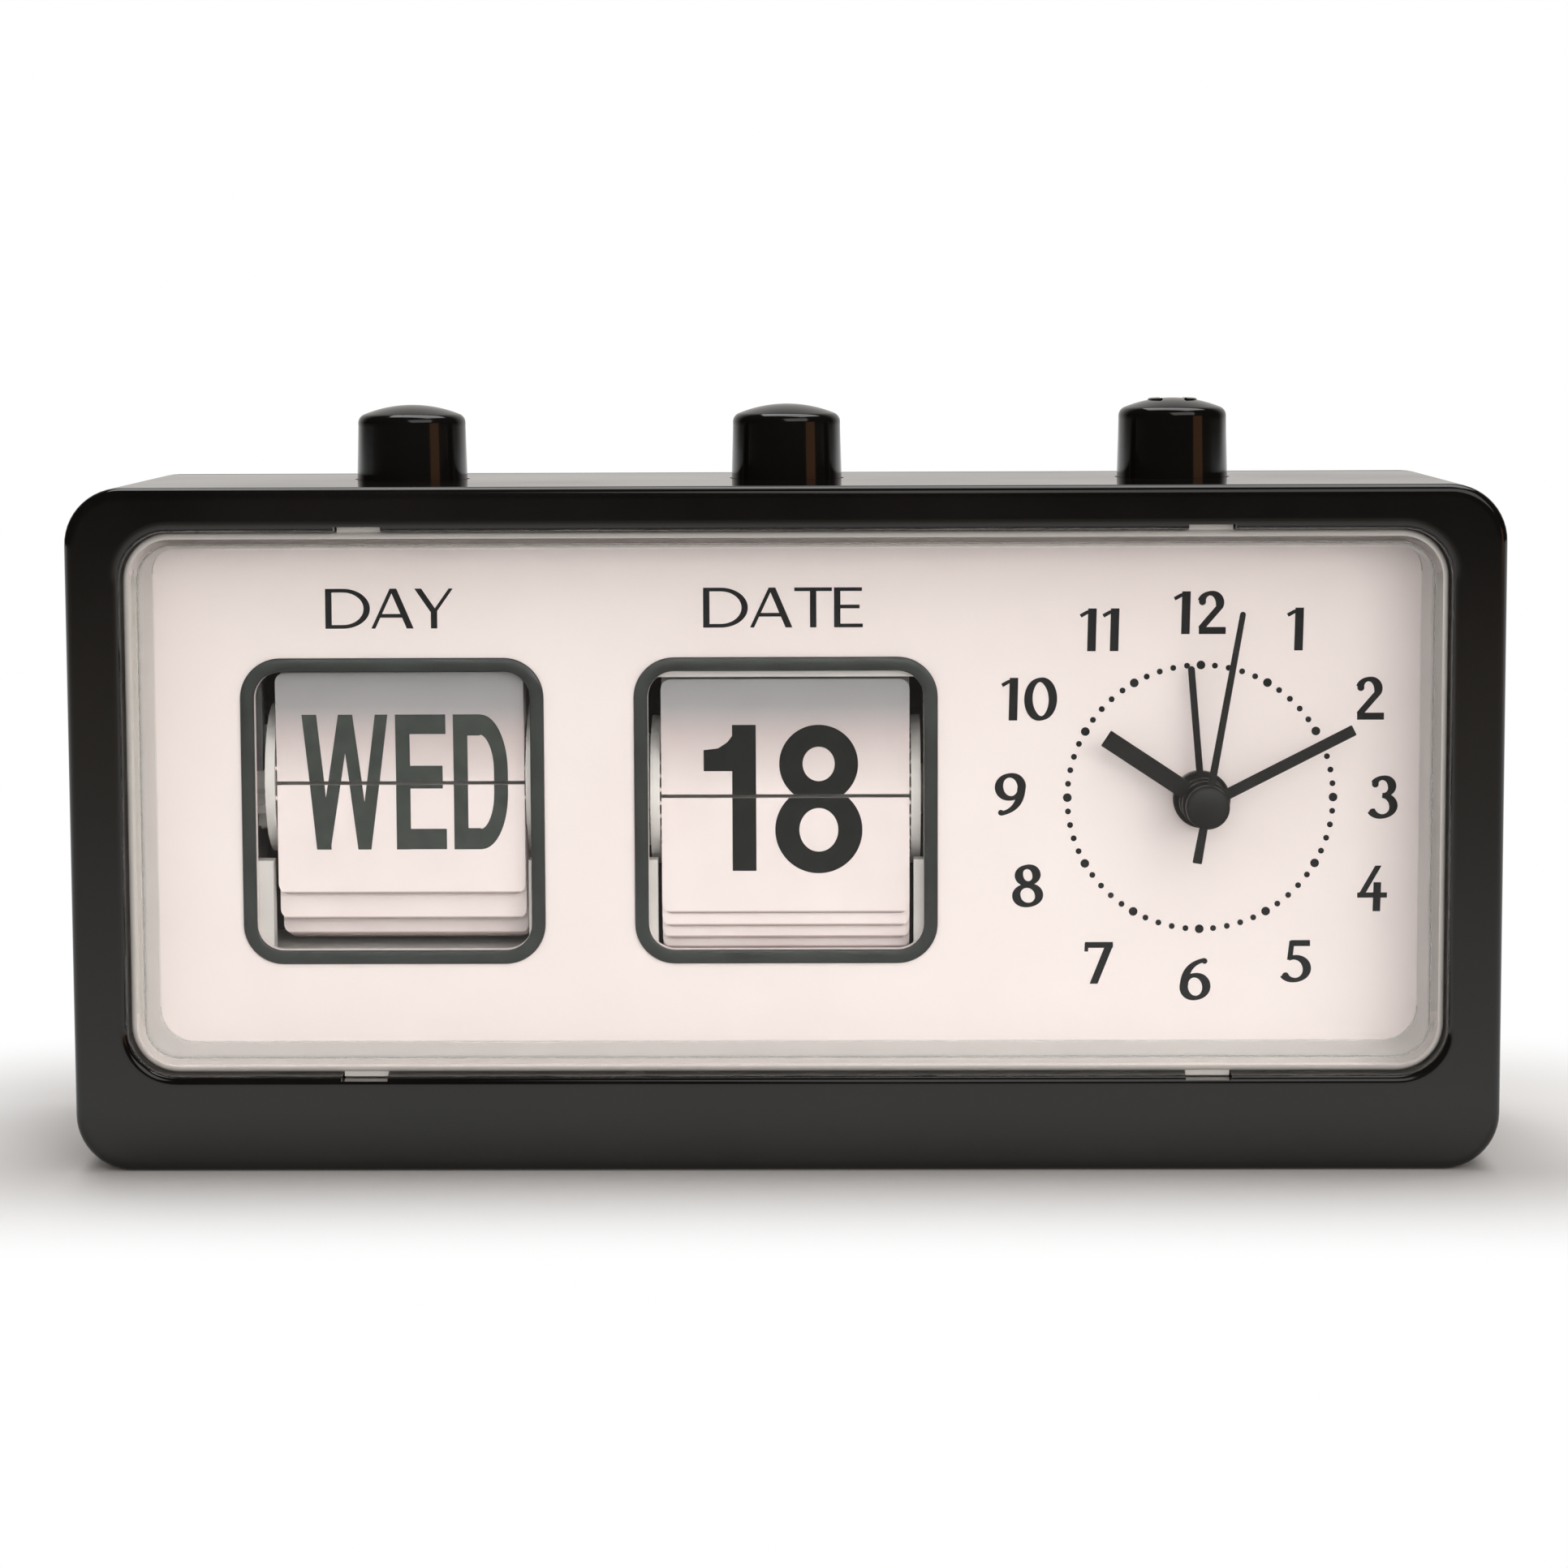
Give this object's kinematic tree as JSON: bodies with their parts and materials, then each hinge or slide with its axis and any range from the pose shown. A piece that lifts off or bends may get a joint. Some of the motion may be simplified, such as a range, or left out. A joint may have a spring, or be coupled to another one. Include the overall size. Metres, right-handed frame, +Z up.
{
  "type": "flip clock",
  "caption": "Desk flip calendar clock: black case, clear front window, day and date leaf drums worked by top buttons, and an analogue alarm dial with hands.",
  "frame": {"origin": "on the surface the clock stands on, under the middle of its bounding box", "axes": "+Z up, +X to the viewer's right, front face towards -Y"},
  "size_m": [0.1748, 0.0536, 0.094],
  "materials": {
    "case_abs": "black moulded ABS with a high gloss",
    "button_abs": "black moulded ABS with a high gloss",
    "lens_clear": "clear moulded polystyrene, polished",
    "dial_white": "white card-like plastic, printed",
    "leaf_white": "white plastic film, printed",
    "knob_black": "black moulded plastic, satin",
    "frame_grey": "light grey moulded plastic",
    "drum_white": "off-white moulded acetal",
    "pusher_dark": "dark grey moulded acetal",
    "steel": "plain bright steel",
    "movement_plastic": "natural moulded plastic",
    "gear_brass": "turned and cut brass",
    "gear_white": "moulded acetal",
    "magnet_dark": "dark bonded magnet",
    "coil_copper": "enamelled copper wire on a steel stator",
    "board_green": "green circuit board",
    "cell_jacket": "plain dark cell jacket",
    "hand_black": "black lacquered sheet metal"
  },
  "bodies": {
    "root": {"front_case": "case_abs", "rear_cover": "case_abs", "window_lens": "lens_clear", "dial_plate": "dial_white", "case_screws": "steel", "day_button_spring": "steel", "date_button_spring": "steel", "alarm_button_spring": "steel", "day_cage": "frame_grey", "day_axle": "steel", "date_cage": "frame_grey", "date_axle": "steel", "movement_front": "movement_plastic", "movement_bridge": "movement_plastic", "movement_back": "movement_plastic", "stator_coil": "coil_copper", "circuit_board": "board_green", "alarm_contact": "gear_brass", "battery": "cell_jacket", "battery_contacts": "steel"},
    "day_push": {"day_button": "button_abs", "day_pusher": "pusher_dark"},
    "date_push": {"date_button": "button_abs", "date_pusher": "pusher_dark"},
    "alarm_push": {"alarm_button": "button_abs"},
    "day_drum_body": {"day_drum": "drum_white", "day_rising_leaves": "leaf_white"},
    "day_flip": {"day_flip_leaf": "leaf_white"},
    "date_drum_body": {"date_drum": "drum_white", "date_rising_leaves": "leaf_white", "date_hanging_leaves_rear": "leaf_white"},
    "date_flip": {"date_flip_leaf": "leaf_white"},
    "seconds": {"second_wheel": "gear_brass", "second_hand": "hand_black"},
    "third": {"third_wheel": "gear_brass"},
    "centre": {"centre_wheel": "gear_brass"},
    "intermediate": {"intermediate_wheel": "gear_white"},
    "stepper": {"rotor": "magnet_dark"},
    "minutes": {"cannon_pinion": "gear_brass", "minute_hand": "hand_black"},
    "motion_work": {"minute_wheel": "gear_white", "time_knob": "knob_black"},
    "hours": {"hour_wheel": "gear_white", "hour_hand": "hand_black"},
    "alarm_setting": {"alarm_wheel": "gear_white", "alarm_hand": "hand_black"},
    "alarm_setter": {"alarm_set_pinion": "gear_white", "alarm_knob": "knob_black"},
    "door": {"battery_door": "case_abs"},
    "day_hang_1": {"day_hanging_leaf_1": "leaf_white"},
    "day_hang_2": {"day_hanging_leaf_2": "leaf_white"},
    "day_hang_3": {"day_hanging_leaf_3": "leaf_white"},
    "day_hang_4": {"day_hanging_leaf_4": "leaf_white"},
    "day_hang_5": {"day_hanging_leaf_5": "leaf_white"},
    "day_hang_6": {"day_hanging_leaf_6": "leaf_white"},
    "date_hang_1": {"date_hanging_leaf_1": "leaf_white"},
    "date_hang_2": {"date_hanging_leaf_2": "leaf_white"},
    "date_hang_3": {"date_hanging_leaf_3": "leaf_white"},
    "date_hang_4": {"date_hanging_leaf_4": "leaf_white"}
  },
  "joints": [
    {"name": "day_press", "type": "slide", "parent": "root", "child": "day_push", "axis": [0, 0, -1], "range_m": [0, 0.00298], "stiffness_N_per_m": 120, "springref_m": -0.004, "deforming": ["day_button_spring"]},
    {"name": "day_turn", "type": "hinge", "parent": "root", "child": "day_drum_body", "pos_m": [-0.0488, 0.00175, 0.04595], "axis": [1, 0, 0], "range_deg": [0, 25.71]},
    {"name": "day_flip_fall", "type": "hinge", "parent": "day_drum_body", "child": "day_flip", "pos_m": [-0.0488, -0.00654, 0.04784], "axis": [1, 0, 0], "range_deg": [0, 150.79]},
    {"name": "day_hang_1_swing", "type": "hinge", "parent": "day_drum_body", "child": "day_hang_1", "pos_m": [-0.0488, -0.00654, 0.04406], "axis": [1, 0, 0], "range_deg": [-25.71, 0]},
    {"name": "day_hang_2_swing", "type": "hinge", "parent": "day_drum_body", "child": "day_hang_2", "pos_m": [-0.0488, -0.0049, 0.04065], "axis": [1, 0, 0], "range_deg": [-25.71, 0]},
    {"name": "day_hang_3_swing", "type": "hinge", "parent": "day_drum_body", "child": "day_hang_3", "pos_m": [-0.0488, -0.00194, 0.03829], "axis": [1, 0, 0], "range_deg": [-25.71, 0]},
    {"name": "day_hang_4_swing", "type": "hinge", "parent": "day_drum_body", "child": "day_hang_4", "pos_m": [-0.0488, 0.00175, 0.03745], "axis": [1, 0, 0], "range_deg": [-25.71, 0]},
    {"name": "day_hang_5_swing", "type": "hinge", "parent": "day_drum_body", "child": "day_hang_5", "pos_m": [-0.0488, 0.00544, 0.03829], "axis": [1, 0, 0], "range_deg": [-25.71, 0]},
    {"name": "day_hang_6_swing", "type": "hinge", "parent": "day_drum_body", "child": "day_hang_6", "pos_m": [-0.0488, 0.0084, 0.04065], "axis": [1, 0, 0], "range_deg": [-25.71, 0]},
    {"name": "date_press", "type": "slide", "parent": "root", "child": "date_push", "axis": [0, 0, -1], "range_m": [0, 0.00146], "stiffness_N_per_m": 120, "springref_m": -0.004, "deforming": ["date_button_spring"]},
    {"name": "date_turn", "type": "hinge", "parent": "root", "child": "date_drum_body", "pos_m": [-0.0002, 0.00175, 0.0442], "axis": [1, 0, 0], "range_deg": [0, 11.61]},
    {"name": "date_flip_fall", "type": "hinge", "parent": "date_drum_body", "child": "date_flip", "pos_m": [-0.0002, -0.00671, 0.04506], "axis": [1, 0, 0], "range_deg": [0, 164.89]},
    {"name": "date_hang_1_swing", "type": "hinge", "parent": "date_drum_body", "child": "date_hang_1", "pos_m": [-0.0002, -0.00671, 0.04334], "axis": [1, 0, 0], "range_deg": [-11.61, 0]},
    {"name": "date_hang_2_swing", "type": "hinge", "parent": "date_drum_body", "child": "date_hang_2", "pos_m": [-0.0002, -0.00636, 0.04165], "axis": [1, 0, 0], "range_deg": [-11.61, 0]},
    {"name": "date_hang_3_swing", "type": "hinge", "parent": "date_drum_body", "child": "date_hang_3", "pos_m": [-0.0002, -0.00568, 0.04007], "axis": [1, 0, 0], "range_deg": [-11.61, 0]},
    {"name": "date_hang_4_swing", "type": "hinge", "parent": "date_drum_body", "child": "date_hang_4", "pos_m": [-0.0002, -0.0047, 0.03866], "axis": [1, 0, 0], "range_deg": [-11.61, 0]},
    {"name": "alarm_press", "type": "slide", "parent": "root", "child": "alarm_push", "axis": [0, 0, -1], "range_m": [0, 0.001], "stiffness_N_per_m": 150, "springref_m": -0.003, "deforming": ["alarm_button_spring"]},
    {"name": "seconds_turn", "type": "hinge", "parent": "root", "child": "seconds", "pos_m": [0.05185, -0.02685, 0.0442], "axis": [0, 1, 0], "continuous": true},
    {"name": "third_turn", "type": "hinge", "parent": "root", "child": "third", "pos_m": [0.05185, -0.02685, 0.05338], "axis": [0, 1, 0], "continuous": true},
    {"name": "centre_turn", "type": "hinge", "parent": "root", "child": "centre", "pos_m": [0.05185, -0.02685, 0.0442], "axis": [0, 1, 0], "continuous": true},
    {"name": "intermediate_turn", "type": "hinge", "parent": "root", "child": "intermediate", "pos_m": [0.05985, -0.02685, 0.04882], "axis": [0, 1, 0], "continuous": true},
    {"name": "rotor_turn", "type": "hinge", "parent": "root", "child": "stepper", "pos_m": [0.06591, -0.02685, 0.05232], "axis": [0, 1, 0], "continuous": true},
    {"name": "minutes_turn", "type": "hinge", "parent": "root", "child": "minutes", "pos_m": [0.05185, -0.02685, 0.0442], "axis": [0, 1, 0], "continuous": true},
    {"name": "time_set_turn", "type": "hinge", "parent": "root", "child": "motion_work", "pos_m": [0.04105, -0.02685, 0.0442], "axis": [0, 1, 0], "continuous": true},
    {"name": "hours_turn", "type": "hinge", "parent": "root", "child": "hours", "pos_m": [0.05185, -0.02685, 0.0442], "axis": [0, 1, 0], "continuous": true},
    {"name": "alarm_turn", "type": "hinge", "parent": "root", "child": "alarm_setting", "pos_m": [0.05185, -0.02685, 0.0442], "axis": [0, 1, 0], "continuous": true},
    {"name": "alarm_set_turn", "type": "hinge", "parent": "root", "child": "alarm_setter", "pos_m": [0.06248, -0.02685, 0.04135], "axis": [0, 1, 0], "continuous": true},
    {"name": "battery_door_off", "type": "slide", "parent": "root", "child": "door", "axis": [0, 1, 0], "range_m": [0, 0.012]}
  ],
  "couplings": [
    {"joint": "day_turn", "follows": "day_press", "rad_per_m": 150.5},
    {"joint": "day_flip_fall", "follows": "day_press", "rad_per_m": 882.53},
    {"joint": "day_hang_1_swing", "follows": "day_press", "rad_per_m": -150.5},
    {"joint": "day_hang_2_swing", "follows": "day_press", "rad_per_m": -150.5},
    {"joint": "day_hang_3_swing", "follows": "day_press", "rad_per_m": -150.5},
    {"joint": "day_hang_4_swing", "follows": "day_press", "rad_per_m": -150.5},
    {"joint": "day_hang_5_swing", "follows": "day_press", "rad_per_m": -150.5},
    {"joint": "day_hang_6_swing", "follows": "day_press", "rad_per_m": -150.5},
    {"joint": "date_turn", "follows": "date_press", "rad_per_m": 139.11},
    {"joint": "date_flip_fall", "follows": "date_press", "rad_per_m": 1975.2},
    {"joint": "date_hang_1_swing", "follows": "date_press", "rad_per_m": -139.11},
    {"joint": "date_hang_2_swing", "follows": "date_press", "rad_per_m": -139.11},
    {"joint": "date_hang_3_swing", "follows": "date_press", "rad_per_m": -139.11},
    {"joint": "date_hang_4_swing", "follows": "date_press", "rad_per_m": -139.11},
    {"joint": "third_turn", "follows": "seconds_turn", "ratio": -0.125},
    {"joint": "centre_turn", "follows": "seconds_turn", "ratio": 0.016667},
    {"joint": "intermediate_turn", "follows": "seconds_turn", "ratio": -5},
    {"joint": "rotor_turn", "follows": "seconds_turn", "ratio": 30},
    {"joint": "time_set_turn", "follows": "minutes_turn", "ratio": -0.33333},
    {"joint": "hours_turn", "follows": "minutes_turn", "ratio": 0.083333},
    {"joint": "alarm_set_turn", "follows": "alarm_turn", "ratio": -4}
  ]
}
